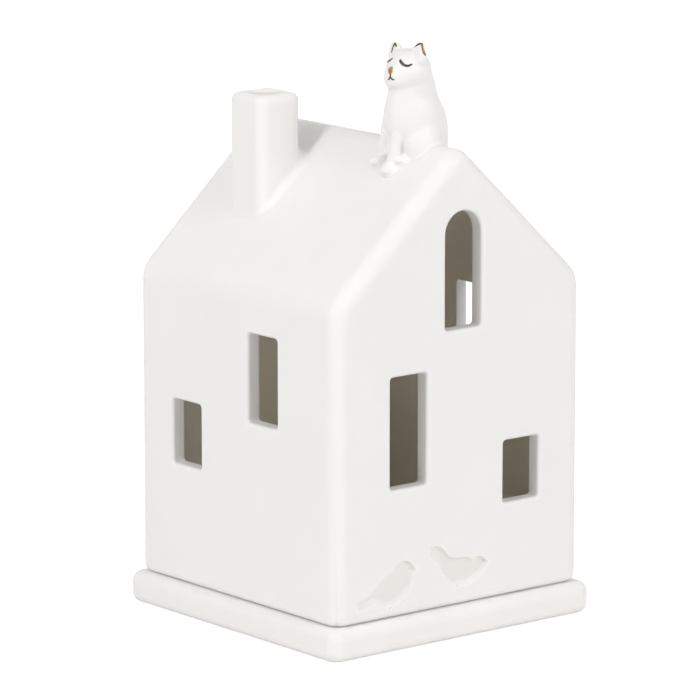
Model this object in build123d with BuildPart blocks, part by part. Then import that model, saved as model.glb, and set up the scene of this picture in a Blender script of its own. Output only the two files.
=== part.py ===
from build123d import *

import os
from math import atan2, cos, hypot, radians, sin, tan

# Porcelain tealight house on a tray. Millimetres, +Z up.
# The origin is the middle of the tray's underside, the front gable faces -Y and the ridge runs along Y.

# Tray
tray_overhang = 2.4  # tray edge beyond the house wall, all round
tray_height = 8.5
tray_corner_radius = 4.0
tray_top_radius = 3.0
tray_bottom_radius = 2.4
tray_foot_width = 7.0  # flat ring that the tray stands on
tray_hollow_depth = 3.0  # underside inside the foot ring
step_height = 1.6  # raised square that keeps the house in place
step_clearance = 1.0
step_edge_radius = 0.7

# House casting: walls and roof in one, open underneath
house_width = 84.0  # across the gable
house_depth = 84.0  # along the ridge
house_height = 122.5  # foot to the ridge line
roof_rise = 39.0  # eaves line to the ridge line
wall = 4.0
edge_radius = 4.2  # upright corners and gable edges
eaves_radius = 8.0
ridge_radius = 5.6
foot_radius = 2.2
foot_inner_radius = 0.8
cavity_radius = 2.5  # inner corners of the casting

# Window openings
window_width = 12.2
window_corner_radius = 1.0
window_edge_radius = 0.9
arch_height = 31.0
arch_below_ridge = 17.9
arch_offset = 0.9
tall_height = 29.6
tall_sill = 34.0
tall_offset = 17.45
front_low_height = 16.7
front_low_sill = 25.2
front_low_offset = 20.95
left_upper_height = 23.8
left_upper_below_eaves = 11.2
left_upper_offset = 11.75
left_low_height = 17.5
left_low_sill = 32.2
left_low_offset = 20.65
right_upper_height = 24.0
right_upper_below_eaves = 8.0
right_upper_offset = 1.3
right_low_height = 17.5
right_low_sill = 39.0
right_low_offset = 24.4
back_low_height = 16.7
back_low_sill = 49.5
back_low_offset = 23.0

# Chimney, luted to the left slope near the back gable
chimney_side = 14.2
chimney_corner_radius = 3.0
chimney_top_radius = 2.2
chimney_above_ridge = 8.1
chimney_x = -18.4
chimney_from_back = 25.4  # middle of the chimney from the back gable
chimney_foot_radius = 2.2  # slip smoothed into the join with the roof
flue_radius = 4.0
flue_lip_radius = 1.0

# Two songbirds pressed into the front gable, below the windows; each floor has the bird's outline
bird_depth = 1.3
bird_slope = 0.9  # rim beyond the floor, all round
bird_drop = 0.6  # rim set lower than the floor, so that the lower sides slope more gently
bird_leg_depth = 0.45
bird_leg_width = 0.8
perched_bird_across = -26.0
perched_bird_above_foot = 4.0
pecking_bird_across = -1.5
pecking_bird_above_foot = 5.8
# Perched bird, clockwise from the end of its low tail
perched_tail_top = [(-8.6, 2.0), (-4.0, 3.3)]
perched_back = [(-2.5, 4.7), (0.4, 7.1), (3.5, 8.3)]
perched_head = [(4.1, 9.3), (5.5, 10.3), (7.5, 10.5), (9.0, 9.7)]
perched_beak_tip = [(10.5, 8.3)]
perched_beak_root = [(9.0, 7.8)]
perched_breast = [(8.8, 6.3), (8.5, 4.4), (7.2, 2.7), (5.4, 1.5), (2.0, 0.6)]
perched_belly = [(-0.1, 1.5), (-2.0, 2.2), (-3.8, 2.1)]
perched_tail_low = [(-8.2, 1.0)]
perched_legs = [[(5.2, 1.8), (6.1, 0.5), (7.0, 0.0)], [(1.4, 0.9), (1.8, -1.0), (2.6, -1.2)]]
# Pecking bird, clockwise from the end of its raised tail
pecking_tail_top = [(-8.5, 11.2), (-6.3, 11.0)]
pecking_back = [(-4.4, 9.6), (-2.6, 7.8), (-0.4, 6.9), (2.5, 6.7), (5.7, 5.6)]
pecking_head = [(6.6, 6.0), (7.9, 6.2), (9.2, 5.6)]
pecking_beak_tip = [(10.6, 4.7)]
pecking_beak_root = [(9.5, 4.1)]
pecking_breast = [(8.7, 3.3), (7.1, 1.9), (5.2, 1.0), (4.2, 0.6)]
pecking_belly = [(1.0, 0.8)]
pecking_rear = [(-0.6, 1.8), (-2.8, 3.6), (-4.4, 6.2), (-6.3, 8.6), (-8.0, 9.9)]
pecking_legs = [[(0.4, 1.3), (0.3, -0.9)], [(3.6, 1.2), (3.7, -1.0)]]

# Seated cat, luted across the ridge near the front gable; it faces the left slope
cat_x = -1.0
cat_from_front = 17.5  # middle of the cat from the front gable
cat_sink = 0.5  # level that the cat's heights are taken from, below the ridge line
cat_turn = 14.0  # body turned from -X towards +Y
cat_head_turn = 2.0
cat_head_forward = 2.0
cat_head_height = 17.9  # middle of the head above that level
cat_head_half_length = 5.7
cat_head_half_width = 6.2
cat_head_half_height = 5.3
cat_muzzle_forward = 4.6
cat_muzzle_drop = 2.2
cat_muzzle_half_width = 3.6
cat_muzzle_radius = 2.7
cat_ear_root_spread = 3.7
cat_ear_root_rise = 2.2
cat_near_ear_tip_spread = 5.1  # the ear on the front gable's side
cat_near_ear_tip_rise = 7.4
cat_far_ear_tip_spread = 5.7
cat_far_ear_tip_rise = 6.3
cat_ear_half_width = 3.0
cat_ear_half_depth = 1.8
cat_ear_tip_radius = 0.7
cat_leg_spread = 3.0  # middle of a foreleg from the midline between the forelegs
cat_leg_shift = 1.0  # that midline from the cat's own, away from the front gable
cat_leg_top_forward = 4.8
cat_leg_top_height = 5.0
cat_leg_top_radius = 2.7
cat_leg_foot_forward = 7.3
cat_leg_foot_radius = 1.8
cat_paw_forward = 8.0
cat_paw_half_length = 2.6
cat_paw_radius = 1.9
cat_haunch_forward = -0.3
cat_haunch_spread = 4.0
cat_haunch_drop = 1.0
cat_haunch_radius = 5.4
cat_haunch_half_width = 3.9
cat_hind_paw_forward = 4.4
cat_hind_paw_spread = 4.4
cat_hind_paw_half_length = 3.1
cat_tail_back = 5.5
cat_tail_radius = 1.5
cat_tail_length = 8.0
cat_tail_bend = 7.0
cat_tail_curl = 80.0  # degrees of curl at the tail's end
# Trunk, from under the ridge to inside the head: height, middle, half length, half breadth
cat_trunk = [
    (-9.0, -2.0, 7.4, 6.0),
    (-5.0, -1.5, 7.8, 6.1),
    (-1.5, -0.9, 8.1, 6.2),
    (2.2, -0.1, 8.7, 6.4),
    (6.4, 0.4, 8.4, 6.2),
    (9.6, 0.8, 7.3, 5.6),
    (11.6, 1.0, 6.6, 5.2),
    (13.4, 1.0, 6.0, 5.2),
    (16.0, 0.9, 5.2, 5.1),
]

# Tealight
cup_radius = 19.0
cup_height = 16.0
cup_wall = 0.3
cup_bottom_radius = 1.2
cup_bead_radius = 0.45
seat_clearance = 1.2  # round seat in the step, beyond the cup
seat_depth = 1.6
wax_below_rim = 1.6
wick_radius = 0.9
wick_above_wax = 7.0
wick_clearance = 0.05
sustainer_radius = 6.5
sustainer_thickness = 0.3
collar_radius = 1.5
collar_height = 3.0

# Levels and slopes that the pieces share
wall_height = house_height - roof_rise
chimney_y = house_depth / 2 - chimney_from_back
cat_y = cat_from_front - house_depth / 2
foot_z = tray_height
eaves_z = foot_z + wall_height
ridge_z = eaves_z + roof_rise
pitch = atan2(roof_rise, house_width / 2)
tray_side_x = house_width + 2 * tray_overhang
tray_side_y = house_depth + 2 * tray_overhang
cavity_width = house_width - 2 * wall
cavity_depth = house_depth - 2 * wall
cavity_ridge_z = ridge_z - wall / cos(pitch)
cavity_eaves_z = cavity_ridge_z - cavity_width / 2 * tan(pitch)
seat_z = foot_z + step_height - seat_depth
chimney_top_z = ridge_z + chimney_above_ridge


def roof_z(x):
    """Height of the roof's slopes at a distance from the ridge."""
    return ridge_z - abs(x) * tan(pitch)


# Solid form of the house, which also trims what stands on the roof
with BuildPart() as house_form:
    with BuildSketch(Plane.XZ) as gable:
        with BuildLine():
            Polyline(
                (-house_width / 2, foot_z),
                (house_width / 2, foot_z),
                (house_width / 2, eaves_z),
                (0, ridge_z),
                (-house_width / 2, eaves_z),
                close=True,
            )
        make_face()
        fillet(gable.vertices().group_by(Axis.Y)[1], eaves_radius)
        fillet(gable.vertices().group_by(Axis.Y)[-1], ridge_radius)
    extrude(amount=house_depth / 2, both=True)
    gable_edges = house_form.faces().filter_by(Axis.Y).edges()
    fillet(gable_edges.filter_by(lambda edge: edge.center().Z > foot_z + edge_radius), edge_radius)
    fillet(house_form.faces().sort_by(Axis.Z)[0].edges(), foot_radius)

# Hollow of the casting, open at the foot
with BuildPart() as house_cavity:
    with BuildSketch(Plane.XZ) as hollow:
        with BuildLine():
            Polyline(
                (-cavity_width / 2, foot_z - wall),
                (cavity_width / 2, foot_z - wall),
                (cavity_width / 2, cavity_eaves_z),
                (0, cavity_ridge_z),
                (-cavity_width / 2, cavity_eaves_z),
                close=True,
            )
        make_face()
        fillet(hollow.vertices().group_by(Axis.Y)[1], cavity_radius)
        fillet(hollow.vertices().group_by(Axis.Y)[-1], cavity_radius)
    extrude(amount=cavity_depth / 2, both=True)
    end_edges = house_cavity.faces().filter_by(Axis.Y).edges()
    fillet(end_edges.filter_by(lambda edge: edge.center().Z > foot_z), cavity_radius)

# Outer faces of the four walls, seen from outside: x to the right, y up from the foot
front_wall = Plane((0, -house_depth / 2, foot_z), x_dir=(1, 0, 0), z_dir=(0, -1, 0))
back_wall = Plane((0, house_depth / 2, foot_z), x_dir=(-1, 0, 0), z_dir=(0, 1, 0))
left_wall = Plane((-house_width / 2, 0, foot_z), x_dir=(0, -1, 0), z_dir=(-1, 0, 0))
right_wall = Plane((house_width / 2, 0, foot_z), x_dir=(0, 1, 0), z_dir=(1, 0, 0))
arch_sill = wall_height + roof_rise - arch_below_ridge - arch_height
left_upper_sill = wall_height - left_upper_below_eaves - left_upper_height
right_upper_sill = wall_height - right_upper_below_eaves - right_upper_height


def window(face, across, sill, height):
    """Square-headed opening on a wall's outer face."""
    with BuildSketch(face) as opening:
        with Locations((across, sill)):
            Rectangle(window_width, height, align=(Align.CENTER, Align.MIN))
        fillet(opening.vertices(), window_corner_radius)
    return opening.sketch


def arched_window(face, across, sill, height):
    """Opening with a half-round head."""
    spring = height - window_width / 2
    with BuildSketch(face) as opening:
        with Locations((across, sill)):
            Rectangle(window_width, spring, align=(Align.CENTER, Align.MIN))
        with Locations((across, sill + spring)):
            Circle(window_width / 2)
        fillet(opening.vertices().group_by(Axis.Y)[0], window_corner_radius)
    return opening.sketch


window_plan = [
    (front_wall, [
        arched_window(front_wall, arch_offset, arch_sill, arch_height),
        window(front_wall, -tall_offset, tall_sill, tall_height),
        window(front_wall, front_low_offset, front_low_sill, front_low_height),
    ]),
    (left_wall, [
        window(left_wall, left_upper_offset, left_upper_sill, left_upper_height),
        window(left_wall, -left_low_offset, left_low_sill, left_low_height),
    ]),
    (right_wall, [
        window(right_wall, -right_upper_offset, right_upper_sill, right_upper_height),
        window(right_wall, -right_low_offset, right_low_sill, right_low_height),
    ]),
    (back_wall, [
        arched_window(back_wall, -arch_offset, arch_sill, arch_height),
        window(back_wall, -tall_offset, tall_sill, tall_height),
        window(back_wall, back_low_offset, back_low_sill, back_low_height),
    ]),
]


def outset(points, width):
    """Points of a clockwise outline, each moved out square to the line between its neighbours."""
    moved = []
    for index, (x, y) in enumerate(points):
        ahead, behind = points[(index + 1) % len(points)], points[index - 1]
        across, up = ahead[0] - behind[0], ahead[1] - behind[1]
        moved.append((x - width * up / hypot(across, up), y + width * across / hypot(across, up)))
    return moved


def bird(face, runs, width=0.0, drop=0.0):
    """Outline of a bird, smooth along each run and sharp between runs."""
    points = [(x, y - drop) for x, y in outset([point for run in runs for point in run], width)]
    last = len(runs[0]) - 1
    with BuildSketch(face) as outline:
        with BuildLine():
            Line(*points[:last + 1])
            for run in runs[1:]:
                stretch = points[last:last + len(run) + 1]
                if len(run) == 1:
                    Line(*stretch)
                else:
                    Spline(*stretch)
                last += len(run)
            Line(points[-1], points[0])
        make_face()
    return outline.sketch


perched_runs = [
    perched_tail_top, perched_back, perched_head, perched_beak_tip, perched_beak_root,
    perched_breast, perched_belly, perched_tail_low,
]
pecking_runs = [
    pecking_tail_top, pecking_back, pecking_head, pecking_beak_tip, pecking_beak_root,
    pecking_breast, pecking_belly, pecking_rear,
]
perched_face = front_wall.moved(Location((perched_bird_across, perched_bird_above_foot, 0)))
pecking_face = front_wall.moved(Location((pecking_bird_across, pecking_bird_above_foot, 0)))
bird_plan = [(perched_runs, perched_face, perched_legs), (pecking_runs, pecking_face, pecking_legs)]

# House shell
with BuildPart() as house_shell:
    add(house_form.part)
    add(house_cavity.part, mode=Mode.SUBTRACT)
    fillet(house_shell.faces().sort_by(Axis.Z)[0].inner_wires().edges(), foot_inner_radius)
    for face, openings in window_plan:
        for opening in openings:
            extrude(opening, amount=-2 * wall, mode=Mode.SUBTRACT)
        outside = house_shell.faces().filter_by(face).sort_by(Axis(face.origin, face.z_dir))[-1]
        fillet(outside.inner_wires().edges(), window_edge_radius)
    for runs, face, legs in bird_plan:
        loft(
            [bird(face, runs, bird_slope, bird_drop), bird(face.offset(-bird_depth), runs)],
            mode=Mode.SUBTRACT,
        )
        with BuildSketch(face):
            with BuildLine():
                for leg in legs:
                    Polyline(*leg)
            trace(line_width=bird_leg_width)
        extrude(amount=-bird_leg_depth, mode=Mode.SUBTRACT)
    with BuildSketch(Plane.XY.offset(eaves_z)):
        with Locations((chimney_x, chimney_y)):
            Circle(flue_radius)
    extrude(amount=roof_rise, mode=Mode.SUBTRACT)
house_shell.part.label = "house_shell"

# Chimney, its foot smoothed into the roof
with BuildPart() as chimney:
    add(house_form.part)
    with BuildSketch(Plane.XY.offset(eaves_z)):
        with Locations((chimney_x, chimney_y)):
            RectangleRounded(chimney_side, chimney_side, chimney_corner_radius)
    extrude(amount=chimney_top_z - eaves_z)
    fillet(chimney.edges(Select.NEW), chimney_foot_radius)
    add(house_form.part, mode=Mode.SUBTRACT)
    fillet(chimney.faces().sort_by(Axis.Z)[-1].edges(), chimney_top_radius)
    with BuildSketch(Plane.XY.offset(eaves_z)):
        with Locations((chimney_x, chimney_y)):
            Circle(flue_radius)
    extrude(amount=chimney_top_z - eaves_z, mode=Mode.SUBTRACT)
    flue_rim = chimney.edges().filter_by(GeomType.CIRCLE).group_by(Axis.Z)[-1].sort_by(SortBy.LENGTH)[-1]
    fillet(flue_rim, flue_lip_radius)
chimney.part.label = "chimney"

# Cat: body and head frames, x forward, y to the side that faces the front gable
body_angle = radians(cat_turn)
head_angle = radians(cat_head_turn)
cat_foot_z = ridge_z - cat_sink
cat_body = Plane((cat_x, cat_y, cat_foot_z), x_dir=(-cos(body_angle), sin(body_angle), 0), z_dir=(0, 0, 1))
head_middle = cat_body.from_local_coords(Vector(cat_head_forward, 0, cat_head_height))
cat_head = Plane(head_middle, x_dir=(-cos(head_angle), sin(head_angle), 0), z_dir=(0, 0, 1))


def ellipsoid(frame, middle, half_length, half_width, half_height):
    """Sphere stretched along a frame's axes."""
    with BuildPart() as ball:
        Sphere(1)
        scale(by=(half_length, half_width, half_height))
    return ball.part.moved(Plane(middle, x_dir=frame.x_dir, z_dir=frame.z_dir).location)


def on_roof(forward, side, lift):
    """Point over the roof, given forward and sideways in the cat's frame and lifted off the slope."""
    place = cat_body.from_local_coords(Vector(forward, side, 0))
    return Vector(place.X, place.Y, roof_z(place.X) + lift)


muzzle_middle = cat_head.from_local_coords(Vector(cat_muzzle_forward, 0, -cat_muzzle_drop))
cat_balls = [
    ellipsoid(cat_head, head_middle, cat_head_half_length, cat_head_half_width, cat_head_half_height),
    ellipsoid(cat_head, muzzle_middle, cat_muzzle_radius, cat_muzzle_half_width, cat_muzzle_radius),
]
for side in (1, -1):
    haunch = cat_body.from_local_coords(
        Vector(cat_haunch_forward, side * cat_haunch_spread, -cat_haunch_drop)
    )
    paw = on_roof(cat_paw_forward, side * cat_leg_spread - cat_leg_shift, cat_paw_radius / 2)
    hind_paw = on_roof(cat_hind_paw_forward, side * cat_hind_paw_spread, cat_paw_radius / 2)
    cat_balls.append(
        ellipsoid(cat_body, haunch, cat_haunch_radius, cat_haunch_half_width, cat_haunch_radius)
    )
    cat_balls.append(ellipsoid(cat_body, paw, cat_paw_half_length, cat_paw_radius, cat_paw_radius))
    cat_balls.append(
        ellipsoid(cat_body, hind_paw, cat_hind_paw_half_length, cat_paw_radius, cat_paw_radius)
    )

ear_plan = [
    (1, cat_near_ear_tip_spread, cat_near_ear_tip_rise),
    (-1, cat_far_ear_tip_spread, cat_far_ear_tip_rise),
]

# The tail runs down the right slope, behind the cat
tail_root = on_roof(-cat_tail_back, 0, cat_tail_radius / 2)
right_slope = Plane(tail_root, x_dir=(cos(pitch), 0, -sin(pitch)), z_dir=(sin(pitch), 0, cos(pitch)))

with BuildPart() as trunk_form:
    for height, middle, half_length, half_breadth in cat_trunk:
        with BuildSketch(cat_body.offset(height)):
            with Locations((middle, 0)):
                Ellipse(half_length, half_breadth)
    loft()

with BuildPart() as cat_figure:
    add(trunk_form.part)
    for side in (1, -1):
        leg_side = side * cat_leg_spread - cat_leg_shift
        leg_foot = on_roof(cat_leg_foot_forward, leg_side, 0)
        with BuildSketch(cat_body.offset(leg_foot.Z - cat_foot_z)):
            with Locations((cat_leg_foot_forward, leg_side)):
                Circle(cat_leg_foot_radius)
        with BuildSketch(cat_body.offset(cat_leg_top_height)):
            with Locations((cat_leg_top_forward, leg_side)):
                Circle(cat_leg_top_radius)
        loft()
    for ball in cat_balls:
        add(ball)
    for side, tip_spread, tip_rise in ear_plan:
        with BuildSketch(cat_head.offset(cat_ear_root_rise)):
            with Locations((0, side * cat_ear_root_spread)):
                Ellipse(cat_ear_half_depth, cat_ear_half_width)
        with BuildSketch(cat_head.offset(tip_rise)):
            with Locations((0, side * tip_spread)):
                Circle(cat_ear_tip_radius)
        loft()
    with BuildLine(right_slope) as tail_line:
        tail_run = Line((0, 0), (cat_tail_length, 0))
        JernArc(tail_run @ 1, tail_run % 1, cat_tail_bend, cat_tail_curl)
    with BuildSketch(Plane(tail_line.line @ 0, z_dir=tail_line.line % 0)):
        Circle(cat_tail_radius)
    sweep()
    with Locations(tail_line.line @ 1):
        Sphere(cat_tail_radius)
    add(house_form.part, mode=Mode.SUBTRACT)
cat_figure.part.label = "cat_figure"

# Tray: foot ring below, raised square and round seat above
with BuildPart() as base_tray:
    with BuildSketch():
        RectangleRounded(tray_side_x, tray_side_y, tray_corner_radius)
    extrude(amount=tray_height)
    fillet(base_tray.faces().sort_by(Axis.Z)[-1].edges(), tray_top_radius)
    fillet(base_tray.faces().sort_by(Axis.Z)[0].edges(), tray_bottom_radius)
    foot_inset = 2 * (tray_bottom_radius + tray_foot_width)
    with BuildSketch():
        RectangleRounded(tray_side_x - foot_inset, tray_side_y - foot_inset, tray_corner_radius)
    extrude(amount=tray_hollow_depth, mode=Mode.SUBTRACT)
    with BuildSketch(Plane.XY.offset(tray_height)):
        step_x = cavity_width - 2 * step_clearance
        step_y = cavity_depth - 2 * step_clearance
        RectangleRounded(step_x, step_y, cavity_radius)
    extrude(amount=step_height)
    fillet(base_tray.faces().sort_by(Axis.Z)[-1].edges(), step_edge_radius)
    with BuildSketch(Plane.XY.offset(seat_z)):
        Circle(cup_radius + seat_clearance)
    extrude(amount=seat_depth, mode=Mode.SUBTRACT)
base_tray.part.label = "base_tray"

# Tealight cup: drawn aluminium with a beaded rim
with BuildPart() as tealight_cup:
    with BuildSketch(Plane.XY.offset(seat_z)):
        Circle(cup_radius)
    extrude(amount=cup_height)
    fillet(tealight_cup.faces().sort_by(Axis.Z)[0].edges(), cup_bottom_radius)
    offset(amount=-cup_wall, openings=tealight_cup.faces().sort_by(Axis.Z)[-1])
    with BuildSketch(Plane.XZ):
        with Locations((cup_radius, seat_z + cup_height - cup_bead_radius)):
            Circle(cup_bead_radius)
    revolve(axis=Axis.Z)
tealight_cup.part.label = "tealight_cup"

cup_floor_z = seat_z + cup_wall
wax_top_z = seat_z + cup_height - wax_below_rim

# Wick, standing on the cup's floor
with BuildPart() as wick:
    with BuildSketch(Plane.XY.offset(cup_floor_z)):
        Circle(wick_radius)
    extrude(amount=wax_top_z + wick_above_wax - cup_floor_z)
wick.part.label = "wick"

# Wick sustainer: a disc with a collar crimped round the wick
with BuildPart() as wick_sustainer:
    with BuildSketch(Plane.XY.offset(cup_floor_z)):
        Circle(sustainer_radius)
    extrude(amount=sustainer_thickness)
    with BuildSketch(Plane.XY.offset(cup_floor_z)):
        Circle(collar_radius)
    extrude(amount=collar_height)
    with BuildSketch(Plane.XY.offset(cup_floor_z)):
        Circle(wick_radius + wick_clearance)
    extrude(amount=collar_height, mode=Mode.SUBTRACT)
wick_sustainer.part.label = "wick_sustainer"

# Wax, cast round the sustainer and the wick
with BuildPart() as tealight_wax:
    with BuildSketch(Plane.XY.offset(cup_floor_z)):
        Circle(cup_radius - cup_wall)
    extrude(amount=wax_top_z - cup_floor_z)
    fillet(tealight_wax.faces().sort_by(Axis.Z)[0].edges(), cup_bottom_radius - cup_wall)
    with BuildSketch(Plane.XY.offset(cup_floor_z)):
        Circle(sustainer_radius)
    extrude(amount=sustainer_thickness, mode=Mode.SUBTRACT)
    with BuildSketch(Plane.XY.offset(cup_floor_z)):
        Circle(collar_radius)
    extrude(amount=collar_height, mode=Mode.SUBTRACT)
    with BuildSketch(Plane.XY.offset(cup_floor_z)):
        Circle(wick_radius + wick_clearance)
    extrude(amount=wax_top_z - cup_floor_z, mode=Mode.SUBTRACT)
tealight_wax.part.label = "tealight_wax"

os.makedirs("parts", exist_ok=True)
export_step(base_tray.part, "parts/base_tray.step")
export_step(house_shell.part, "parts/house_shell.step")
export_step(chimney.part, "parts/chimney.step")
export_step(cat_figure.part, "parts/cat_figure.step")
export_step(tealight_cup.part, "parts/tealight_cup.step")
export_step(tealight_wax.part, "parts/tealight_wax.step")
export_step(wick.part, "parts/wick.step")
export_step(wick_sustainer.part, "parts/wick_sustainer.step")
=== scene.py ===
import math

import bmesh
import bpy
import numpy as np
from mathutils import Matrix, Vector


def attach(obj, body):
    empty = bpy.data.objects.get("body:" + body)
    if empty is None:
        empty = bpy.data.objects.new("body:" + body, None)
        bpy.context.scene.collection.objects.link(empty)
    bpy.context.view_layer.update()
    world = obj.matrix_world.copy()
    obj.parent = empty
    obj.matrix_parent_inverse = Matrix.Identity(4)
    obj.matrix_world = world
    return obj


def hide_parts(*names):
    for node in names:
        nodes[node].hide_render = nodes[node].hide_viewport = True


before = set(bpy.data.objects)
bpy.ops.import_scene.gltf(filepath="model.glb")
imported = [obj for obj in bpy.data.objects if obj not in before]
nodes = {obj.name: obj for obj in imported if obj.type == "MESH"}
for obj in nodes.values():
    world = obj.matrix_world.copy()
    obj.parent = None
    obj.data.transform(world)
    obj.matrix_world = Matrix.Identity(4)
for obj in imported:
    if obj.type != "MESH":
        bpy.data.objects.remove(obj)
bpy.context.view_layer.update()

mm = 0.001


# camera on the photo's line of sight: eye = aim + distance * back,
# lens = sensor * focal length in pixels over image width in pixels
shot = {
    "azimuth": -39.114,  # degrees, 0 looks along +Y
    "elevation": 11.436,
    "distance": 1.3395,
    "aimAcross": -0.00234,  # to the right of the middle
    "aimUp": 0.070,
    "focalPixels": 5041.4,
    "imagePixels": 700,
    "sensor": 36.0,
    "clip": (0.01, 50.0),
}


def wayTo(azimuth, elevation):
    # unit vector from the object: (sin a cos e, -cos a cos e, sin e)
    a, e = math.radians(azimuth), math.radians(elevation)
    return Vector((math.sin(a) * math.cos(e), -math.cos(a) * math.cos(e), math.sin(e)))


def makeCamera(shot):
    a = math.radians(shot["azimuth"])
    back = wayTo(shot["azimuth"], shot["elevation"])
    right = Vector((math.cos(a), math.sin(a), 0.0))
    up = back.cross(right)
    eye = right * shot["aimAcross"] + Vector((0, 0, shot["aimUp"])) + back * shot["distance"]
    data = bpy.data.cameras.new("photoCamera")
    data.sensor_width = shot["sensor"]
    data.lens = shot["focalPixels"] / shot["imagePixels"] * shot["sensor"]
    data.clip_start, data.clip_end = shot["clip"]
    camera = bpy.data.objects.new("photoCamera", data)
    turn = Matrix((right, up, back)).transposed().to_4x4()
    camera.matrix_world = Matrix.Translation(eye) @ turn
    bpy.context.scene.collection.objects.link(camera)
    bpy.context.scene.camera = camera


makeCamera(shot)
print("camera placed")


# small helpers for node trees
def addNode(tree, kind, values=None, **settings):
    node = tree.nodes.new(kind)
    for name, value in settings.items():
        setattr(node, name, value)
    for name, value in (values or {}).items():
        node.inputs[name].default_value = value
    return node


def newMaterial(name):
    material = bpy.data.materials.new(name)
    material.use_nodes = True
    tree = material.node_tree
    tree.nodes.clear()
    out = addNode(tree, "ShaderNodeOutputMaterial")
    skin = addNode(tree, "ShaderNodeBsdfPrincipled")
    tree.links.new(skin.outputs["BSDF"], out.inputs["Surface"])
    place = addNode(tree, "ShaderNodeTexCoord")
    return material, tree, skin, place.outputs["Object"]


def noiseAt(tree, place, scale, detail=3.0, rough=0.5, stretch=None):
    if stretch is not None:
        mapping = addNode(tree, "ShaderNodeMapping", {"Scale": stretch})
        tree.links.new(place, mapping.inputs["Vector"])
        place = mapping.outputs["Vector"]
    noise = addNode(tree, "ShaderNodeTexNoise", {"Scale": scale, "Detail": detail, "Roughness": rough})
    tree.links.new(place, noise.inputs["Vector"])
    return noise.outputs["Fac"]


def rampOf(tree, source, stops):
    stops = list(stops)
    ramp = addNode(tree, "ShaderNodeValToRGB")
    points = ramp.color_ramp.elements
    while len(points) < len(stops):
        points.new(0.5)
    for point, (at, colour) in zip(points, stops):
        point.position = at
        point.color = (*colour, 1.0)
    tree.links.new(source, ramp.inputs["Fac"])
    return ramp.outputs["Color"]


def rangeOf(tree, source, low, high, start=0.3, end=0.7):
    ends = {"From Min": start, "From Max": end, "To Min": low, "To Max": high}
    span = addNode(tree, "ShaderNodeMapRange", ends)
    tree.links.new(source, span.inputs["Value"])
    return span.outputs["Result"]


def bumpOf(tree, source, depth, under=None, strength=1.0):
    bump = addNode(tree, "ShaderNodeBump", {"Strength": strength, "Distance": depth})
    tree.links.new(source, bump.inputs["Height"])
    if under is not None:
        tree.links.new(under, bump.inputs["Normal"])
    return bump.outputs["Normal"]


# white porcelain: faint clouds in the body, slow waves of the casting, fine tooth of the fired skin
bisqueLook = {
    "pale": (0.889, 0.874, 0.861),
    "deep": (0.877, 0.861, 0.847),
    "cloudScale": 38.0,
    "cloudDetail": 4.0,
    "cloudRough": 0.55,
    "cloudStops": (0.35, 0.62),
    "grainShare": 9,  # scale of the roughness grain over the clouds'
    "roughLow": 0.44,
    "roughHigh": 0.56,
    "waveScale": 75.0,
    "waveDetail": 1.0,
    "waveDepth": 0.00006,
    "toothScale": 2100.0,
    "toothDetail": 2.0,
    "toothDepth": 0.000006,
    "edgeSoft": 0.0004,  # rounding of sharp rims
    "edgeSamples": 6,
    "coat": 0.0,
    "coatRough": 0.34,
    "shine": 0.15,  # level of the skin's own reflection
    "through": 0.55,  # share of light that goes through the body before it leaves again
    "throughReach": 0.0011,
    "throughTint": (1.0, 0.92, 0.82),
}
glazedLook = dict(
    bisqueLook,
    pale=(0.868, 0.856, 0.844),
    deep=(0.856, 0.842, 0.829),
    roughLow=0.40,
    roughHigh=0.50,
    waveDepth=0.00003,
    toothDepth=0.000003,
    edgeSoft=0.0,
    coat=0.16,
    coatRough=0.32,
    shine=0.45,
    through=0.3,
)
slippedLook = dict(bisqueLook, edgeSoft=0.0, through=0.0)  # joins smoothed with slip
# painted shade on the floor of the pressed birds, below birdTop: colour greyer with depth where shade falls in
# the recess; and a warmer colour in the hollow of the casting, a painted warm tint of the shade inside
shellLook = dict(
    bisqueLook,
    throughReach=0.0008,
    # painted shade colour for the floors of the pressed birds
    pressed=(0.70, 0.68, 0.62),
    pressedSpan=(0.19, 0.49),  # depths, 0 at the outer face and 1 in the hollow
    birdTop=0.028,
    # painted warm tint for the brown of the shade in the hollow
    inside=(0.915, 0.86, 0.745),
    insideSpan=(0.96, 1.0),
    insideFrom=0.0417,  # from the middle to just under the walls' outer face
    insideTo=0.03805,  # from the middle to the hollow
    slope=0.9286,
    insideRoof=0.1289,  # height just under the roof's outer face, carried in to the middle
    insideDepth=0.003,
)


def mathOf(tree, operation, first, second):
    step = addNode(tree, "ShaderNodeMath", operation=operation)
    for socket, value in zip(step.inputs, (first, second)):
        if isinstance(value, (int, float)):
            socket.default_value = value
        else:
            tree.links.new(value, socket)
    return step.outputs[0]


def insideMask(tree, place, look):
    # 0 at the walls' and roof's outer faces, 1 in the hollow: the least of three clamped distances inwards
    parts = addNode(tree, "ShaderNodeSeparateXYZ")
    tree.links.new(place, parts.inputs[0])
    across = mathOf(tree, "ABSOLUTE", parts.outputs["X"], 0.0)
    along = mathOf(tree, "ABSOLUTE", parts.outputs["Y"], 0.0)
    under = mathOf(tree, "ADD", mathOf(tree, "MULTIPLY", across, look["slope"]), parts.outputs["Z"])
    wide = rangeOf(tree, across, 0.0, 1.0, look["insideFrom"], look["insideTo"])
    deep = rangeOf(tree, along, 0.0, 1.0, look["insideFrom"], look["insideTo"])
    high = rangeOf(tree, under, 0.0, 1.0, look["insideRoof"], look["insideRoof"] - look["insideDepth"])
    return mathOf(tree, "MINIMUM", mathOf(tree, "MINIMUM", wide, deep), high)


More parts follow.
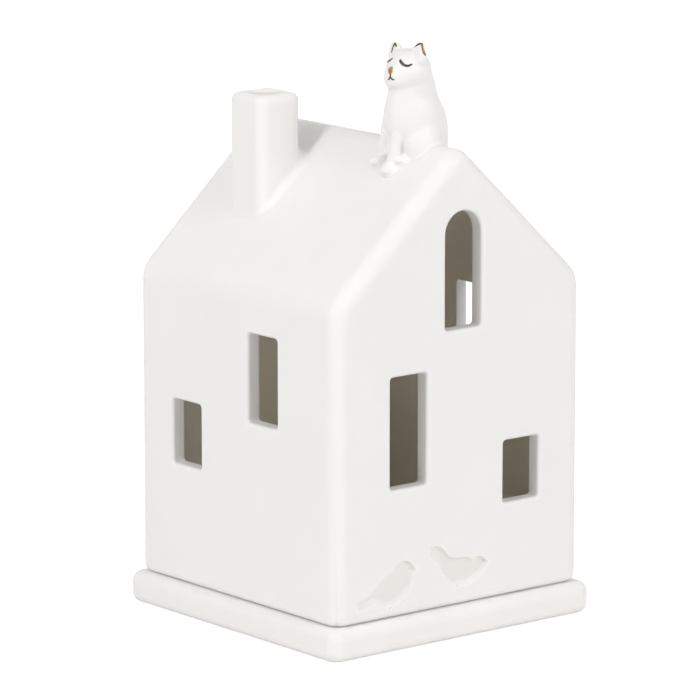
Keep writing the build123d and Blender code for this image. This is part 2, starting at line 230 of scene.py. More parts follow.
def makePorcelain(name, look):
    material, tree, skin, place = newMaterial(name)
    clouds = noiseAt(tree, place, look["cloudScale"], look["cloudDetail"], look["cloudRough"])
    body = rampOf(tree, clouds, zip(look["cloudStops"], (look["deep"], look["pale"])))
    if "inside" in look:
        depth = insideMask(tree, place, look)
        parts = addNode(tree, "ShaderNodeSeparateXYZ")
        tree.links.new(place, parts.inputs[0])
        byBirds = mathOf(tree, "LESS_THAN", parts.outputs["Z"], look["birdTop"])
        # painted shade: the birds' recess floors greyer with depth, only below birdTop; the hollow given a
        # painted warm tint of its shade
        layers = ("pressed", "inside")
        shares = {layer: rangeOf(tree, depth, 0.0, 1.0, *look[layer + "Span"]) for layer in layers}
        shares["pressed"] = mathOf(tree, "MULTIPLY", shares["pressed"], byBirds)
        for layer, share in shares.items():
            mix = addNode(tree, "ShaderNodeMix", data_type="RGBA")
            mix.inputs["B"].default_value = (*look[layer], 1.0)
            tree.links.new(share, mix.inputs["Factor"])
            tree.links.new(body, mix.inputs["A"])
            body = mix.outputs["Result"]
    tree.links.new(body, skin.inputs["Base Color"])
    skin.inputs["Specular IOR Level"].default_value = look["shine"]
    grain = noiseAt(tree, place, look["cloudScale"] * look["grainShare"])
    tree.links.new(rangeOf(tree, grain, look["roughLow"], look["roughHigh"]), skin.inputs["Roughness"])
    under = None
    if look["edgeSoft"]:
        soft = addNode(tree, "ShaderNodeBevel", {"Radius": look["edgeSoft"]}, samples=look["edgeSamples"])
        under = soft.outputs["Normal"]
    if "inside" in look:  # the birds keep their own rims
        rims = addNode(tree, "ShaderNodeMix", data_type="VECTOR")
        tree.links.new(byBirds, rims.inputs["Factor"])
        tree.links.new(under, rims.inputs["A"])
        tree.links.new(addNode(tree, "ShaderNodeNewGeometry").outputs["Normal"], rims.inputs["B"])
        under = rims.outputs["Result"]
    for layer in ("wave", "tooth"):
        height = noiseAt(tree, place, look[layer + "Scale"], look[layer + "Detail"])
        under = bumpOf(tree, height, look[layer + "Depth"], under)
    tree.links.new(under, skin.inputs["Normal"])
    skin.inputs["Coat Weight"].default_value = look["coat"]
    skin.inputs["Coat Roughness"].default_value = look["coatRough"]
    skin.subsurface_method = "BURLEY"
    skin.inputs["Subsurface Weight"].default_value = look["through"]
    skin.inputs["Subsurface Radius"].default_value = look["throughTint"]
    skin.inputs["Subsurface Scale"].default_value = look["throughReach"]
    return material


# black enamel: pooled brush line, a touch brown where it thins
enamelLook = {
    "dark": (0.008, 0.008, 0.009),
    "thin": (0.035, 0.028, 0.024),
    "stops": (0.4, 0.75),
    "scale": 900.0,
    "bump": 0.00002,
    "rough": 0.42,
}


def makeEnamel(look):
    material, tree, skin, place = newMaterial("blackEnamel")
    pool = noiseAt(tree, place, look["scale"])
    body = rampOf(tree, pool, zip(look["stops"], (look["dark"], look["thin"])))
    tree.links.new(body, skin.inputs["Base Color"])
    tree.links.new(bumpOf(tree, pool, look["bump"]), skin.inputs["Normal"])
    skin.inputs["Roughness"].default_value = look["rough"]
    return material


# gold lustre: thin metal film with brush streaks, browner where it is thick
lustreLook = {
    "bright": (0.58, 0.31, 0.08),
    "brown": (0.30, 0.13, 0.025),
    "stops": (0.32, 0.66),
    "scale": 700.0,
    "streak": (1.0, 1.0, 2.2),
    "streakDetail": 4.0,
    "streakRough": 0.6,
    "bump": 0.00002,
    "roughLow": 0.25,
    "roughHigh": 0.42,
}
# darker copy of the gold lustre for the ears' lines: painted reflection of dark surroundings on the real gold
# line
paintedDarkLustreLook = dict(lustreLook, bright=(0.24, 0.125, 0.035), brown=(0.05, 0.03, 0.012), scale=500.0)


def makeLustre(name, look):
    material, tree, skin, place = newMaterial(name)
    streak = noiseAt(tree, place, look["scale"], look["streakDetail"], look["streakRough"], look["streak"])
    body = rampOf(tree, streak, zip(look["stops"], (look["brown"], look["bright"])))
    tree.links.new(body, skin.inputs["Base Color"])
    tree.links.new(rangeOf(tree, streak, look["roughHigh"], look["roughLow"]), skin.inputs["Roughness"])
    tree.links.new(bumpOf(tree, streak, look["bump"]), skin.inputs["Normal"])
    skin.inputs["Metallic"].default_value = 1.0
    return material


# drawn aluminium: hoop streaks round the wall, light smears
cupLook = {
    "bright": (0.71, 0.71, 0.72),
    "dull": (0.62, 0.62, 0.635),
    "stops": (0.35, 0.65),
    "smear": 160.0,
    "smearDetail": 4.0,
    "hoops": 1400.0,
    "hoopStretch": (0.04, 0.04, 1.0),
    "hoopRough": 0.6,
    "bump": 0.00002,
    "roughLow": 0.2,
    "roughHigh": 0.38,
}


def makeCupMetal(look):
    material, tree, skin, place = newMaterial("cupAluminium")
    hoops = noiseAt(tree, place, look["hoops"], rough=look["hoopRough"], stretch=look["hoopStretch"])
    smear = noiseAt(tree, place, look["smear"], look["smearDetail"])
    body = rampOf(tree, smear, zip(look["stops"], (look["dull"], look["bright"])))
    tree.links.new(body, skin.inputs["Base Color"])
    tree.links.new(rangeOf(tree, smear, look["roughLow"], look["roughHigh"]), skin.inputs["Roughness"])
    tree.links.new(bumpOf(tree, hoops, look["bump"]), skin.inputs["Normal"])
    skin.inputs["Metallic"].default_value = 1.0
    return material


# paraffin wax: milky, with the mottle of a cooled pour
waxLook = {
    "pale": (0.90, 0.89, 0.855),
    "deep": (0.83, 0.815, 0.765),
    "stops": (0.36, 0.6),
    "mottle": 260.0,
    "mottleDetail": 5.0,
    "mottleRough": 0.6,
    "bump": 0.00008,
    "rough": 0.46,
    "through": 0.35,
    "throughTint": (1.0, 0.8, 0.55),
    "throughReach": 0.002,
}


def makeWax(look):
    material, tree, skin, place = newMaterial("candleWax")
    mottle = noiseAt(tree, place, look["mottle"], look["mottleDetail"], look["mottleRough"])
    body = rampOf(tree, mottle, zip(look["stops"], (look["deep"], look["pale"])))
    tree.links.new(body, skin.inputs["Base Color"])
    tree.links.new(bumpOf(tree, mottle, look["bump"]), skin.inputs["Normal"])
    skin.inputs["Roughness"].default_value = look["rough"]
    skin.inputs["Subsurface Weight"].default_value = look["through"]
    skin.inputs["Subsurface Radius"].default_value = look["throughTint"]
    skin.inputs["Subsurface Scale"].default_value = look["throughReach"]
    return material


# cotton: fine fibres over the plait
cottonLook = {
    "pale": (0.86, 0.83, 0.76),
    "shade": (0.60, 0.55, 0.46),
    "stops": (0.3, 0.6),
    "fibres": 5200.0,
    "fibreDetail": 4.0,
    "fibreRough": 0.6,
    "fibreStretch": (1.0, 1.0, 0.35),
    "bump": 0.00008,
    "rough": 0.85,
    "sheen": 0.3,
}


def makeCotton(look):
    material, tree, skin, place = newMaterial("wickCotton")
    fibres = noiseAt(tree, place, look["fibres"], look["fibreDetail"], look["fibreRough"], look["fibreStretch"])
    body = rampOf(tree, fibres, zip(look["stops"], (look["shade"], look["pale"])))
    tree.links.new(body, skin.inputs["Base Color"])
    tree.links.new(bumpOf(tree, fibres, look["bump"]), skin.inputs["Normal"])
    skin.inputs["Roughness"].default_value = look["rough"]
    skin.inputs["Sheen Weight"].default_value = look["sheen"]
    return material


# tinned steel foot of the wick
tinLook = {
    "bright": (0.62, 0.62, 0.63),
    "dull": (0.45, 0.45, 0.46),
    "stops": (0.4, 0.6),
    "spangle": 900.0,
    "spangleDetail": 2.0,
    "roughLow": 0.28,
    "roughHigh": 0.42,
}


def makeTin(look):
    material, tree, skin, place = newMaterial("sustainerTin")
    spangle = noiseAt(tree, place, look["spangle"], look["spangleDetail"])
    body = rampOf(tree, spangle, zip(look["stops"], (look["dull"], look["bright"])))
    tree.links.new(body, skin.inputs["Base Color"])
    tree.links.new(rangeOf(tree, spangle, look["roughLow"], look["roughHigh"]), skin.inputs["Roughness"])
    skin.inputs["Metallic"].default_value = 1.0
    return material


bisque = makePorcelain("bisquePorcelain", bisqueLook)
glazed = makePorcelain("glazedPorcelain", glazedLook)
shell = makePorcelain("shellPorcelain", shellLook)
slipped = makePorcelain("slippedPorcelain", slippedLook)
enamel = makeEnamel(enamelLook)
lustre = makeLustre("goldLustre", lustreLook)
paintedDarkLustre = makeLustre("paintedDarkGoldLustre", paintedDarkLustreLook)
finishes = {
    "base_tray": bisque,
    "house_shell": shell,
    "chimney": slipped,
    "cat_figure": glazed,
    "tealight_cup": makeCupMetal(cupLook),
    "tealight_wax": makeWax(waxLook),
    "wick": makeCotton(cottonLook),
    "wick_sustainer": makeTin(tinLook),
}
for nodeName, finish in finishes.items():
    nodes[nodeName].data.materials.clear()
    nodes[nodeName].data.materials.append(finish)
print("finishes on", len(finishes), "nodes")


# surfaces as grids of points: rows along the form, columns round it
def smoothRows(table, count):
    # Catmull-Rom curve through the rows of a table, ends doubled
    table = np.asarray(table, float)
    padded = np.vstack([table[:1], table, table[-1:]])
    at = np.linspace(0, len(table) - 1, count)
    i = np.minimum(at.astype(int), len(table) - 2)
    t = (at - i)[:, None]
    a, b, c, d = padded[i], padded[i + 1], padded[i + 2], padded[i + 3]
    return 0.5 * (2 * b + (c - a) * t + (2 * a - 5 * b + 4 * c - d) * t**2 + (3 * b - a - 3 * c + d) * t**3)


def ballGrid(middle, halves, rows=40, columns=64, pole=0.497):
    # ellipsoid: middle + halves * (cos u cos v, cos u sin v, sin u), u up to just short of the poles
    u = np.linspace(-pole * np.pi, pole * np.pi, rows)[:, None]
    v = np.linspace(0, 2 * np.pi, columns, endpoint=False)[None, :]
    unit = np.stack([np.cos(u) * np.cos(v), np.cos(u) * np.sin(v), np.sin(u) * np.ones_like(v)], -1)
    return np.asarray(middle, float) + unit * np.asarray(halves, float)


def ovalLoft(table, count=80, columns=96):
    # level ovals up a spine: row (height, middle, half length, half breadth),
    # point = middle + halves * (cos v, sin v)
    height, middle, length, breadth = smoothRows(table, count).T[:, :, None]
    v = np.linspace(0, 2 * np.pi, columns, endpoint=False)[None, :]
    return np.stack([middle + length * np.cos(v), breadth * np.sin(v), height + 0 * v], -1)


def roundTube(path, count=60, columns=32, aside=(0.31, 0.17, 0.93)):
    # circle of changing radius carried along a curve: row (x, y, z, radius),
    # point = centre + radius * (n cos v + b sin v), n square to the curve and to the way aside
    rows = smoothRows(path, count)
    centre, radius = rows[:, :3], rows[:, 3]
    along = np.gradient(centre, axis=0)
    along /= np.linalg.norm(along, axis=1, keepdims=True)
    side = np.cross(along, np.array(aside))
    side /= np.linalg.norm(side, axis=1, keepdims=True)
    over = np.cross(along, side)
    v = np.linspace(0, 2 * np.pi, columns, endpoint=False)[None, :, None]
    ring = side[:, None, :] * np.cos(v) + over[:, None, :] * np.sin(v)
    return centre[:, None, :] + radius[:, None, None] * ring


def meshFromGrids(name, grids, ring=False):
    # quads between neighbouring rows and columns;
    # each end row closed by one face, or the ends joined in a ring
    points, faces, start = [], [], 0
    for grid in grids:
        rows, columns = grid.shape[:2]
        r = np.arange(rows if ring else rows - 1)[:, None]
        c = np.arange(columns)[None, :]
        n = (c + 1) % columns
        here, ahead = r * columns, (r + 1) % rows * columns
        quads = np.stack([here + c, here + n, ahead + n, ahead + c], -1).reshape(-1, 4) + start
        faces += quads.tolist()
        if not ring:
            faces.append((np.arange(columns)[::-1] + start).tolist())
            faces.append((np.arange(columns) + start + (rows - 1) * columns).tolist())
        points.append(grid.reshape(-1, 3))
        start += rows * columns
    mesh = bpy.data.meshes.new(name)
    mesh.from_pydata(np.vstack(points), [], faces)
    mesh.update()
    return mesh


def addPiece(name, mesh, material, body):
    piece = bpy.data.objects.new(name, mesh)
    bpy.context.scene.collection.objects.link(piece)
    mesh.materials.clear()
    mesh.materials.append(material)
    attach(piece, body)
    return piece


def fusedMesh(name, mesh, voxel, rounds, pull=0.5):
    # overlapping closed forms become one skin on a fine grid, then the joins are eased as glaze eases them:
    # in each round every point goes by the pull towards the mean of its neighbours
    rough = bpy.data.objects.new(name + "Rough", mesh)
    bpy.context.scene.collection.objects.link(rough)
    skin = rough.modifiers.new("skin", "REMESH")
    skin.mode = "VOXEL"
    skin.voxel_size = voxel
    skin.use_smooth_shade = True
    ease = rough.modifiers.new("ease", "SMOOTH")
    ease.factor = pull
    ease.iterations = rounds
    evaluated = rough.evaluated_get(bpy.context.evaluated_depsgraph_get())
    fused = bpy.data.meshes.new_from_object(evaluated)
    fused.name = name
    bpy.data.objects.remove(rough)
    return fused


# seated cat, luted on the ridge; lengths in mm from its foot, x forward, y to the front gable, z up
catShape = {
    "foot": (-1.0, -24.5, 130.5),
    "turn": 14.0,  # body turned from -X towards +Y
    "headTurn": 2.0,
    "headAt": (2.0, 0.0, 17.9),
    "trunk": [  # height, middle, half length, half breadth
        (-9.0, -3.0, 5.8, 5.6),
        (-5.0, -2.2, 6.6, 5.8),
        (-1.5, -1.6, 7.3, 6.0),
        (2.2, -0.3, 8.6, 6.3),
        (6.4, 0.4, 8.4, 6.2),
        (9.6, 0.8, 7.3, 5.6),
        (11.6, 1.0, 6.7, 5.3),
        (13.4, 1.0, 6.2, 5.5),
        (15.4, 0.9, 5.6, 5.5),
        (17.4, 1.0, 4.9, 5.1),
    ],
    "haunch": ((-0.5, 4.1, -2.0), (5.4, 4.0, 6.3)),
    "legShift": -1.0,  # both forelegs stand a little to the far side
    "leg": [(4.2, 3.0, 7.6, 2.2), (5.6, 3.0, 3.6, 1.95), (6.6, 3.0, -0.6, 1.6), (7.4, 3.0, -4.4, 1.5),
            (7.9, 3.0, -6.8, 1.5)],
    "paw": ((8.5, 3.0), (2.5, 2.0, 1.8), 0.45),  # middle, halves, lift as a share of the half height
    "hindPaw": ((4.4, 2.8), (4.0, 2.4, 1.4), -0.2),
    "chest": ((4.2, -0.5, -1.8), (2.8, 3.3, 5.6)),  # breast between the forelegs
    "head": (5.7, 6.3, 5.4),
    "bumps": [  # direction, height as a share of the radius, sharpness
        ((0.88, 0.0, -0.48), 0.30, 7.0),
        ((0.70, 0.0, -0.71), 0.10, 8.0),
        ((0.40, 0.78, -0.48), 0.06, 5.0),
        ((0.40, -0.78, -0.48), 0.06, 5.0),
        ((0.84, 0.50, 0.18), -0.03, 16.0),
        ((0.84, -0.50, 0.18), -0.03, 16.0),
    ],
    "ear": [  # height as a share of the tip's, middle, half depth, half width, offset from the tip
        (0.0, 0.2, 1.6, 2.4, -2.6),
        (0.30, 0.2, 2.0, 3.5, -1.7),
        (0.52, 0.3, 1.85, 3.25, -1.1),
        (0.74, 0.25, 1.55, 2.3, -0.6),
        (0.90, 0.1, 1.2, 1.55, -0.25),
        (1.02, 0.0, 0.75, 0.9, 0.0),
    ],
    "earTips": ((5.1, 7.2), (-5.6, 6.3)),
    "earHollow": (0.4, 0.35, 4.0),  # share of the front half scooped out, height that it starts at, rise
    "tail": [(-3.0, 0.0, -1.0, 1.7), (-6.5, -0.6, -4.9, 1.7), (-10.5, -2.2, -9.6, 1.7),
             (-13.5, -5.2, -13.2, 1.65), (-13.9, -9.0, -14.4, 1.6)],
    "seatDepth": 0.9,  # how far the figure's base sits in the slip on the roof
    "voxel": 0.00022,
    "bodyRounds": 80,  # easing of the large joins
    "rounds": 14,  # easing after the ears, legs and paws are on
    "slipReach": 1.3,  # slip smoothed round the figure's foot: height on the figure, spread on the roof
    "slipSpread": 0.75,
    "slipLeast": 0.2,  # least length that a way along the roof is divided by
}
roofLine = {"ridge": 131.0, "slope": 39.0 / 42.0, "ridgeRadius": 5.6}


def roofHeight(x, line):
    # two slopes with a round ridge: circle of the ridge radius inside its tangent points,
    # straight lines outside
    pitch = math.atan(line["slope"])
    radius = line["ridgeRadius"]
    crown = line["ridge"] - radius / math.cos(pitch) + np.sqrt(np.maximum(radius**2 - x**2, 0))
    return np.where(np.abs(x) < radius * math.sin(pitch), crown, line["ridge"] - np.abs(x) * line["slope"])


def turnedAxes(degrees):
    # rows forward, aside and up: -X turned by an angle towards +Y, up x forward, +Z
    a = math.radians(degrees)
    forward = np.array([-math.cos(a), math.sin(a), 0.0])
    up = np.array([0.0, 0.0, 1.0])
    return np.array([forward, np.cross(up, forward), up])


def headGrid(halves, bumps, rows=72, columns=108):
    # ball swollen in places:
    # direction * halves * (1 + sum of height * exp(sharpness * (cosine to the bump - 1)))
    unit = ballGrid((0, 0, 0), (1, 1, 1), rows, columns)
    swell = np.ones(unit.shape[:2])
    for direction, height, sharpness in bumps:
        aim = np.array(direction) / np.linalg.norm(direction)
        swell += height * np.exp(sharpness * (unit @ aim - 1))
    return unit * np.array(halves) * swell[..., None]


def earGrid(table, tip, hollow, count=48, columns=48):
    # ovals up to the tip: row (height share, middle, half depth, half width, offset);
    # a squared cosine scoops the front half, from a height up
    dip, start, rise = hollow
    share, middle, depth, width, offset = smoothRows(table, count).T[:, :, None]
    v = np.linspace(0, 2 * np.pi, columns, endpoint=False)[None, :]
    front = np.maximum(np.cos(v), 0.0)
    scoop = 1.0 - dip * front**2 * np.clip((share - start) * rise, 0, 1)
    across = np.sign(tip[0]) * (abs(tip[0]) + offset) + width * np.sin(v)
    return np.stack([middle + depth * np.cos(v) * scoop, across, share * tip[1] + 0 * v], -1)


def seated(grids, depth):
    # forms cut off level with the roof, a little under its face
    placed = []
    for grid in grids:
        seat = roofHeight(grid[..., 0], roofLine) - depth
        placed.append(np.concatenate([grid[..., :2], np.maximum(grid[..., 2], seat)[..., None]], -1) * mm)
    return placed


def joinMeshes(mesh, other):
    # the other mesh's faces are put into the first one
    both = bmesh.new()
    both.from_mesh(mesh)
    both.from_mesh(other)
    both.to_mesh(mesh)
    both.free()
    bpy.data.meshes.remove(other)


def spreadSlip(mesh, reach, spread, least, step=0.01):
    # points less than the reach above the roof go outwards along it by spread * (1 - height / reach) squared
    count = len(mesh.vertices)
    points, outward = np.empty(count * 3), np.empty(count * 3)
    mesh.vertices.foreach_get("co", points)
    mesh.vertex_normals.foreach_get("vector", outward)
    points, outward = points.reshape(-1, 3) / mm, outward.reshape(-1, 3)
    x = points[:, 0]
    fall = roofHeight(x + step, roofLine) - roofHeight(x - step, roofLine)
    roofWay = np.stack([-fall / (2 * step), 0 * x, 1 + 0 * x], -1)
    roofWay /= np.linalg.norm(roofWay, axis=1, keepdims=True)
    outward -= roofWay * np.sum(outward * roofWay, axis=1, keepdims=True)
    outward /= np.maximum(np.linalg.norm(outward, axis=1, keepdims=True), least)
    share = np.clip(1 - (points[:, 2] - roofHeight(x, roofLine)) / reach, 0, 1)
    points += outward * spread * share[:, None] ** 2
    mesh.vertices.foreach_set("co", (points * mm).ravel())
    mesh.update()


def makeCat(shape):
    # point of the figure = foot + (forward, aside, up) in turned axes;
    # large forms are fused and eased first, then ears, legs and paws are put on and eased less
    bodyAxes = turnedAxes(shape["turn"])
    headAxes = turnedAxes(shape["headTurn"])
    foot = np.array(shape["foot"])
    headMiddle = foot + np.array(shape["headAt"]) @ bodyAxes
    large = [
        foot + ovalLoft(shape["trunk"]) @ bodyAxes,
        foot + roundTube(shape["tail"]) @ bodyAxes,
        foot + ballGrid(*shape["chest"]) @ bodyAxes,
        headMiddle + headGrid(shape["head"], shape["bumps"]) @ headAxes,
    ]
    small = []
    for side, tip in zip((1, -1), shape["earTips"]):
        small.append(headMiddle + earGrid(shape["ear"], tip, shape["earHollow"]) @ headAxes)
        haunch = ballGrid(np.array(shape["haunch"][0]) * np.array([1, side, 1]), shape["haunch"][1])
        leg = np.array(shape["leg"]) * np.array([1, side, 1, 1]) + np.array([0, shape["legShift"], 0, 0])
        large.append(foot + haunch @ bodyAxes)
        small.append(foot + roundTube(leg) @ bodyAxes)
        for part, shift, group in (("paw", shape["legShift"], small), ("hindPaw", 0.0, large)):
            (forward, across), halves, rise = shape[part]
            spot = foot + np.array([forward, side * across + shift, 0.0]) @ bodyAxes
            lift = roofHeight(spot[0], roofLine) - foot[2] + halves[2] * rise
            group.append(foot + ballGrid((forward, side * across + shift, lift), halves) @ bodyAxes)
    large, small = seated(large, shape["seatDepth"]), seated(small, shape["seatDepth"])
    body = fusedMesh("catBody", meshFromGrids("catLarge", large), shape["voxel"], shape["bodyRounds"])
    joinMeshes(body, meshFromGrids("catSmall", small))
    cat = fusedMesh("cat", body, shape["voxel"], shape["rounds"])
    spreadSlip(cat, shape["slipReach"], shape["slipSpread"], shape["slipLeast"])
    return cat, headMiddle, headAxes


catMesh, headMiddle, headAxes = makeCat(catShape)
cat = addPiece("cat_porcelain", catMesh, glazed, "house")
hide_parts("cat_figure")
print("cat:", len(catMesh.polygons), "faces")


# painted lines on the cat: rows (forward, towards the front gable, up, width),
# in mm from the middle of the head
faceLines = {
    "enamel": [
        [(4.35, 1.9, 2.96, 0.62), (4.49, 2.63, 2.28, 0.8), (4.22, 3.63, 1.67, 0.68),
         (3.58, 4.48, 1.58, 0.58), (2.68, 5.0, 2.01, 0.42)],
        [(4.55, -0.85, 3.0, 0.45), (4.83, -1.49, 2.49, 0.62), (4.6, -2.6, 1.95, 0.65),
         (4.02, -3.94, 1.62, 0.5)],
        [(6.63, 0.86, -0.78, 0.38), (6.72, 0.93, -1.15, 0.38), (6.8, 1.0, -1.53, 0.38)],
        [(6.8, 1.0, -1.45, 0.38), (6.68, 1.56, -1.94, 0.38), (6.39, 2.16, -2.1, 0.32)],
        [(6.78, 1.02, -1.4, 0.37), (6.92, 0.73, -1.96, 0.38), (6.98, 0.35, -2.26, 0.32)],
    ],
    "nose": [
        [(5.95, 0.05, 0.95, 1.45), (6.22, 0.37, 0.35, 1.6), (6.47, 0.64, -0.25, 1.3),
         (6.67, 0.82, -0.86, 0.65)],
    ],
    "ears": [
        [(0.99, 3.35, 5.96, 0.5), (0.76, 4.4, 6.81, 0.75), (0.54, 5.37, 7.26, 0.8),
         (0.15, 6.13, 7.13, 0.6)],
        [(0.47, 6.04, 7.0, 0.6), (0.5, 6.67, 5.64, 0.65), (0.16, 6.78, 4.07, 0.5)],
        [(1.47, -5.52, 3.57, 0.45), (1.16, -5.34, 4.74, 0.6), (0.69, -5.15, 5.95, 0.7),
         (0.89, -4.03, 5.31, 0.45)],
    ],
    "earFacing": (0.59, 0.78, 0.20),  # way that the ears' lines face, in the head's frame
    "lift": 0.00001,
    "thickness": 0.00009,
}


def strokeGrid(rows, facing=None, along=64, across=9, endPower=7, endLeast=0.004):
    # ribbon along a curve: point = centre + s * half width * side, s from -1 to 1;
    # the width closes at the ends by the root of 1 - |t| to a power
    table = smoothRows(rows, along)
    centre, width = table[:, :3], table[:, 3]
    t = np.linspace(-1, 1, along)
    width = width * np.sqrt(np.maximum(1 - np.abs(t) ** endPower, endLeast))
    tangent = np.gradient(centre, axis=0)
    outward = centre if facing is None else np.broadcast_to(np.array(facing), centre.shape)
    side = np.cross(outward, tangent)
    side /= np.linalg.norm(side, axis=1, keepdims=True)
    s = np.linspace(-1, 1, across)[None, :, None]
    return centre[:, None, :] + 0.5 * width[:, None, None] * s * side[:, None, :]


def meshFromRibbons(name, grids):
    # quads between neighbouring rows and columns, edges left open
    points, faces, start = [], [], 0
    for grid in grids:
        rows, columns = grid.shape[:2]
        r = np.arange(rows - 1)[:, None] * columns
        c = np.arange(columns - 1)[None, :]
        quads = np.stack([r + c, r + columns + c, r + columns + c + 1, r + c + 1], -1).reshape(-1, 4) + start
        faces += quads.tolist()
        points.append(grid.reshape(-1, 3))
        start += rows * columns
    mesh = bpy.data.meshes.new(name)
    mesh.from_pydata(np.vstack(points), [], faces)
    mesh.update()
    return mesh


def paintedMesh(name, grids, under, lift, thickness):
    # ribbons laid on the skin below and given the thickness of a fired-on line
    flat = meshFromRibbons(name + "Flat", [(headMiddle + grid @ headAxes) * mm for grid in grids])
    film = bpy.data.objects.new(name + "Film", flat)
    bpy.context.scene.collection.objects.link(film)
    lay = film.modifiers.new("lay", "SHRINKWRAP")
    lay.target = under
    lay.wrap_method = "NEAREST_SURFACEPOINT"
    lay.wrap_mode = "ABOVE_SURFACE"
    lay.offset = lift
    thick = film.modifiers.new("thick", "SOLIDIFY")
    thick.thickness = thickness
    thick.offset = 0.0
    evaluated = film.evaluated_get(bpy.context.evaluated_depsgraph_get())
    painted = bpy.data.meshes.new_from_object(evaluated)
    painted.name = name
    painted.shade_smooth()
    bpy.data.objects.remove(film)
    return painted


lineKit = (cat, faceLines["lift"], faceLines["thickness"])
earStrokes = [strokeGrid(rows, faceLines["earFacing"]) for rows in faceLines["ears"]]
enamelLines = paintedMesh("catEnamel", [strokeGrid(rows) for rows in faceLines["enamel"]], *lineKit)
noseDrop = paintedMesh("catNose", [strokeGrid(rows) for rows in faceLines["nose"]], *lineKit)
earLines = paintedMesh("catEars", earStrokes, *lineKit)
addPiece("cat_enamel_lines", enamelLines, enamel, "house")
addPiece("cat_gold_nose", noseDrop, lustre, "house")
# the ears' lines carry the darkened lustre, a painted reflection
addPiece("cat_gold_ears", earLines, paintedDarkLustre, "house")
print("painted lines:", sum(len(mesh.polygons) for mesh in (enamelLines, noseDrop, earLines)), "faces")


# poured wax: its face climbs a little at the cup's wall and at the wick;
# lengths in mm, heights from the cup's floor
waxShape = {
    "floor": 8.8,
    "radius": 18.7,
    "height": 14.1,
    "dip": 0.5,
    "climb": 0.9,  # reach of the climb at either edge
    "footRound": 0.9,
    "foot": [(0.95, 3.0), (1.5, 3.0), (1.5, 0.3), (6.5, 0.3), (6.5, 0.0)],  # hollow round the wick's foot
    "hole": 0.95,
    "turnRows": 10,
    "faceRows": 60,
    "sharpFrom": 50.0,  # degrees
}


def makePour(shape, columns=160):
    # outline turned round the wick:
    # height of the face = top - dip * (1 - e^(-gap to wall)) * (1 - e^(-gap to wick))
    a = np.linspace(-np.pi / 2, 0, shape["turnRows"])
    turn = shape["footRound"] * np.stack([np.cos(a) - 1, np.sin(a) + 1], -1)
    turn += np.array([shape["radius"], 0.0])
    inward = 0.5 + 0.5 * np.cos(np.linspace(0, np.pi, shape["faceRows"]))
    r = shape["hole"] + (shape["radius"] - shape["hole"]) * inward
    wall = 1 - np.exp((r - shape["radius"]) / shape["climb"])
    wick = 1 - np.exp((shape["hole"] - r) / shape["climb"])
    face = np.stack([r, shape["height"] - shape["dip"] * wall * wick], -1)
    outline = np.vstack([turn, face, np.array(shape["foot"])])
    v = np.linspace(0, 2 * np.pi, columns, endpoint=False)[None, :]
    reach, height = outline.T[:, :, None]
    grid = np.stack([reach * np.cos(v), reach * np.sin(v), shape["floor"] + height + 0 * v], -1)
    mesh = meshFromGrids("waxPour", [grid * mm], True)
    mesh.shade_smooth()
    mesh.set_sharp_from_angle(angle=math.radians(shape["sharpFrom"]))
    return mesh


# plaited wick of three strands, standing on the cup's floor
plaitShape = {
    "floor": 8.8,
    "height": 21.1,
    "pitch": 3.4,
    "sway": 0.42,
    "weave": 0.24,
    "strand": 0.44,
    "tip": 0.3,
    "tipLeast": 0.35,
    "aside": (0.9, 0.43, 0.0),
}


def makePlait(shape, count=220, columns=20):
    # strand: sway * sin t across, weave * sin 2t along, t from height over pitch,
    # the three a third of a turn apart; the radius falls at the tip by the root of what is left
    height = np.linspace(0, shape["height"], count)
    strands = []
    for phase in (0.0, 1 / 3, 2 / 3):
        t = 2 * np.pi * (height / shape["pitch"] + phase)
        left = np.clip((shape["height"] - height) / shape["tip"], shape["tipLeast"], 1)
        radius = shape["strand"] * left**0.5
        across, along = shape["sway"] * np.sin(t), shape["weave"] * np.sin(2 * t)
        path = np.stack([across, along, shape["floor"] + height, radius], -1)
        strands.append(roundTube(path, count, columns, shape["aside"]))
    spread = np.stack(strands)
    spread[..., 2] = np.clip(spread[..., 2], shape["floor"], shape["floor"] + shape["height"])
    mesh = meshFromGrids("wickPlait", spread * mm)
    mesh.shade_smooth()
    return mesh


pour = addPiece("wax_pour", makePour(waxShape), finishes["tealight_wax"], "tealight")
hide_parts("tealight_wax")
plait = addPiece("wick_plait", makePlait(plaitShape), finishes["wick"], "tealight")
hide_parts("wick")
print("tealight:", len(pour.data.polygons) + len(plait.data.polygons), "faces")


# floor: pale and matt; camera, glossy and transmitted rays see it near white, with the soft shadow kept
stageLook = {
    "floorSize": 8.0,
    "floorColour": (0.93, 0.93, 0.93),
    "shownColour": 0.40,
    "shownGlow": 0.82,
    "worldLight": 0.57,
    "worldColour": (1.0, 0.995, 0.985),
    "lampAim": 0.07,  # height that the lamps point at
}
lamps = [  # name, azimuth, elevation, distance, size, power
    ("softboxLeft", -87.0, 37.0, 2.0, 0.55, 12.3),
    ("softboxRight", 7.0, 29.0, 2.0, 1.0, 11.8),
]


def seenDirectly(tree):
    # 1 for camera, glossy and transmitted rays, otherwise 0
    rays = addNode(tree, "ShaderNodeLightPath").outputs
    mirrored = mathOf(tree, "MAXIMUM", rays["Is Camera Ray"], rays["Is Glossy Ray"])
    return mathOf(tree, "MAXIMUM", mirrored, rays["Is Transmission Ray"])


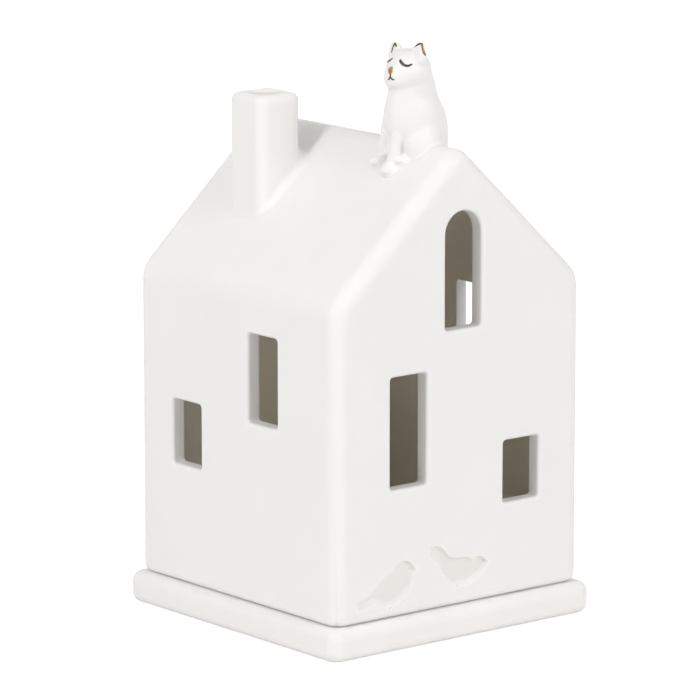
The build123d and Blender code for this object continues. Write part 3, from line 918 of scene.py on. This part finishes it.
def makeStage(look):
    half = look["floorSize"] / 2
    mesh = bpy.data.meshes.new("floor")
    corners = [(-half, -half, 0), (half, -half, 0), (half, half, 0), (-half, half, 0)]
    mesh.from_pydata(corners, [], [(0, 1, 2, 3)])
    floor = bpy.data.objects.new("floor", mesh)
    bpy.context.scene.collection.objects.link(floor)
    material = bpy.data.materials.new("paleFloor")
    material.use_nodes = True
    tree = material.node_tree
    tree.nodes.clear()
    out = addNode(tree, "ShaderNodeOutputMaterial")
    plain = addNode(tree, "ShaderNodeBsdfDiffuse", {"Color": (*look["floorColour"], 1)})
    shown = addNode(tree, "ShaderNodeBsdfDiffuse", {"Color": (*[look["shownColour"]] * 3, 1)})
    glow = addNode(tree, "ShaderNodeEmission", {"Color": (1, 1, 1, 1), "Strength": look["shownGlow"]})
    both = addNode(tree, "ShaderNodeAddShader")
    mix = addNode(tree, "ShaderNodeMixShader")
    tree.links.new(shown.outputs[0], both.inputs[0])
    tree.links.new(glow.outputs[0], both.inputs[1])
    tree.links.new(seenDirectly(tree), mix.inputs[0])
    tree.links.new(plain.outputs[0], mix.inputs[1])
    tree.links.new(both.outputs[0], mix.inputs[2])
    tree.links.new(mix.outputs[0], out.inputs["Surface"])
    mesh.materials.append(material)
    world = bpy.data.worlds.new("studio")
    world.use_nodes = True
    tree = world.node_tree
    tree.nodes.clear()
    out = addNode(tree, "ShaderNodeOutputWorld")
    light = {"Color": (*look["worldColour"], 1), "Strength": look["worldLight"]}
    dome = addNode(tree, "ShaderNodeBackground", light)
    white = addNode(tree, "ShaderNodeBackground", {"Color": (1, 1, 1, 1), "Strength": 1.0})
    mix = addNode(tree, "ShaderNodeMixShader")
    tree.links.new(seenDirectly(tree), mix.inputs[0])
    tree.links.new(dome.outputs[0], mix.inputs[1])
    tree.links.new(white.outputs[0], mix.inputs[2])
    tree.links.new(mix.outputs[0], out.inputs["Surface"])
    bpy.context.scene.world = world


def makeLamp(name, azimuth, elevation, distance, size, power):
    # round softbox at a distance from the object, facing it
    back = wayTo(azimuth, elevation)
    place = back * distance + Vector((0, 0, stageLook["lampAim"]))
    data = bpy.data.lights.new(name, "AREA")
    data.shape = "DISK"
    data.size = size
    data.energy = power
    lamp = bpy.data.objects.new(name, data)
    lamp.matrix_world = Matrix.Translation(place) @ back.to_track_quat("Z", "Y").to_matrix().to_4x4()
    bpy.context.scene.collection.objects.link(lamp)


makeStage(stageLook)
for lamp in lamps:
    makeLamp(*lamp)
bpy.context.scene.view_settings.view_transform = "Standard"
print("stage and", len(lamps), "lamps set")
